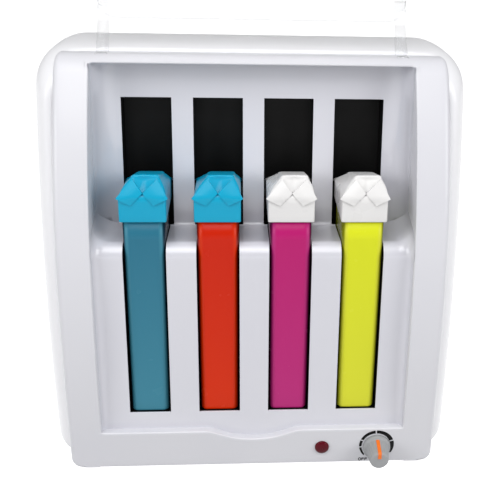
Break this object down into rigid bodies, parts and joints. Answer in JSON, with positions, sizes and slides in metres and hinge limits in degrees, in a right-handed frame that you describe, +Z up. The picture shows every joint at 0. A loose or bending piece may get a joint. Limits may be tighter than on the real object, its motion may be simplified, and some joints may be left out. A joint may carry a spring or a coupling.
{
  "type": "roll-on wax heater",
  "caption": "Free-standing warmer with slotted bays that heats roll-on wax cartridges behind a clear hinged lid; a dial sets the heat.",
  "frame": {"origin": "on the surface it stands on, under the middle of the bounding box", "axes": "+X to the right seen from the front, +Y to the back, +Z up"},
  "size_m": [0.2586, 0.1558, 0.4747],
  "materials": {
    "white_plastic": "moulded, low gloss",
    "black_plastic": "matte",
    "clear_plastic": "clear, polished",
    "grey_plastic": "matte",
    "orange_plastic": "matte",
    "steel": "plated",
    "heater_foil": "plain",
    "red_lens": "polished, tinted",
    "rubber": "matte",
    "board": "matte",
    "natural_plastic": "natural, slightly translucent",
    "lamp": "clear",
    "teal_plastic": "translucent",
    "orange_body": "translucent",
    "magenta_plastic": "translucent",
    "lime_plastic": "translucent",
    "blue_cap": "satin",
    "white_cap": "satin"
  },
  "bodies": {
    "housing": {"front_frame": "white_plastic", "bay_insert": "white_plastic", "rear_shell": "white_plastic", "base_plate": "white_plastic", "heat_well_1": "black_plastic", "heater_plate_1": "heater_foil", "heat_well_2": "black_plastic", "heater_plate_2": "heater_foil", "heat_well_3": "black_plastic", "heater_plate_3": "heater_foil", "heat_well_4": "black_plastic", "heater_plate_4": "heater_foil", "foot_front_left": "rubber", "foot_front_right": "rubber", "foot_rear_left": "rubber", "foot_rear_right": "rubber", "base_screw_1": "steel", "base_screw_2": "steel", "base_screw_3": "steel", "base_screw_4": "steel", "control_board": "board", "power_inlet": "black_plastic", "hinge_pin_left": "steel", "hinge_pin_right": "steel", "potentiometer": "black_plastic", "potentiometer_nut": "steel", "pilot_lens": "red_lens", "pilot_lamp": "lamp"},
    "dial": {"dial_knob": "grey_plastic", "dial_pointer": "orange_plastic", "dial_shaft": "steel"},
    "lid": {"lid": "clear_plastic"},
    "cartridge_1": {"cartridge_body_1": "teal_plastic", "wax_fill_1": "teal_plastic", "roller_head_1": "natural_plastic"},
    "cap_1": {"cartridge_cap_1": "blue_cap"},
    "roller_1": {"roller_1": "natural_plastic"},
    "cartridge_2": {"cartridge_body_2": "orange_body", "wax_fill_2": "orange_body", "roller_head_2": "natural_plastic"},
    "cap_2": {"cartridge_cap_2": "blue_cap"},
    "roller_2": {"roller_2": "natural_plastic"},
    "cartridge_3": {"cartridge_body_3": "magenta_plastic", "wax_fill_3": "magenta_plastic", "roller_head_3": "natural_plastic"},
    "cap_3": {"cartridge_cap_3": "white_cap"},
    "roller_3": {"roller_3": "natural_plastic"},
    "cartridge_4": {"cartridge_body_4": "lime_plastic", "wax_fill_4": "lime_plastic", "roller_head_4": "natural_plastic"},
    "cap_4": {"cartridge_cap_4": "white_cap"},
    "roller_4": {"roller_4": "natural_plastic"}
  },
  "joints": [
    {"name": "lid_hinge", "type": "hinge", "parent": "housing", "child": "lid", "pos_m": [0, -0.03361, 0.2502], "axis": [-1, 0, 0], "range_deg": [-170, 0]},
    {"name": "dial_turn", "type": "hinge", "parent": "housing", "child": "dial", "pos_m": [0.0766, -0.0617, 0.01446], "axis": [0, -0.9902, -0.1395], "range_deg": [-130, 138]},
    {"name": "cartridge_lift_1", "type": "slide", "parent": "housing", "child": "cartridge_1", "axis": [0, -0.8, 0.6], "range_m": [0, 0.1]},
    {"name": "cap_pull_1", "type": "slide", "parent": "cartridge_1", "child": "cap_1", "axis": [0, -0.0778, 0.997], "range_m": [0, 0.03]},
    {"name": "roller_spin_1", "type": "hinge", "parent": "cartridge_1", "child": "roller_1", "pos_m": [-0.063, -0.04351, 0.1691], "axis": [0, 0.997, 0.0778], "continuous": true},
    {"name": "cartridge_lift_2", "type": "slide", "parent": "housing", "child": "cartridge_2", "axis": [0, -0.8, 0.6], "range_m": [0, 0.1]},
    {"name": "cap_pull_2", "type": "slide", "parent": "cartridge_2", "child": "cap_2", "axis": [0, -0.0778, 0.997], "range_m": [0, 0.03]},
    {"name": "roller_spin_2", "type": "hinge", "parent": "cartridge_2", "child": "roller_2", "pos_m": [-0.021, -0.04351, 0.1691], "axis": [0, 0.997, 0.0778], "continuous": true},
    {"name": "cartridge_lift_3", "type": "slide", "parent": "housing", "child": "cartridge_3", "axis": [0, -0.8, 0.6], "range_m": [0, 0.1]},
    {"name": "cap_pull_3", "type": "slide", "parent": "cartridge_3", "child": "cap_3", "axis": [0, -0.0778, 0.997], "range_m": [0, 0.03]},
    {"name": "roller_spin_3", "type": "hinge", "parent": "cartridge_3", "child": "roller_3", "pos_m": [0.021, -0.04351, 0.1691], "axis": [0, 0.997, 0.0778], "continuous": true},
    {"name": "cartridge_lift_4", "type": "slide", "parent": "housing", "child": "cartridge_4", "axis": [0, -0.8, 0.6], "range_m": [0, 0.1]},
    {"name": "cap_pull_4", "type": "slide", "parent": "cartridge_4", "child": "cap_4", "axis": [0, -0.0778, 0.997], "range_m": [0, 0.03]},
    {"name": "roller_spin_4", "type": "hinge", "parent": "cartridge_4", "child": "roller_4", "pos_m": [0.063, -0.04351, 0.1691], "axis": [0, 0.997, 0.0778], "continuous": true}
  ]
}
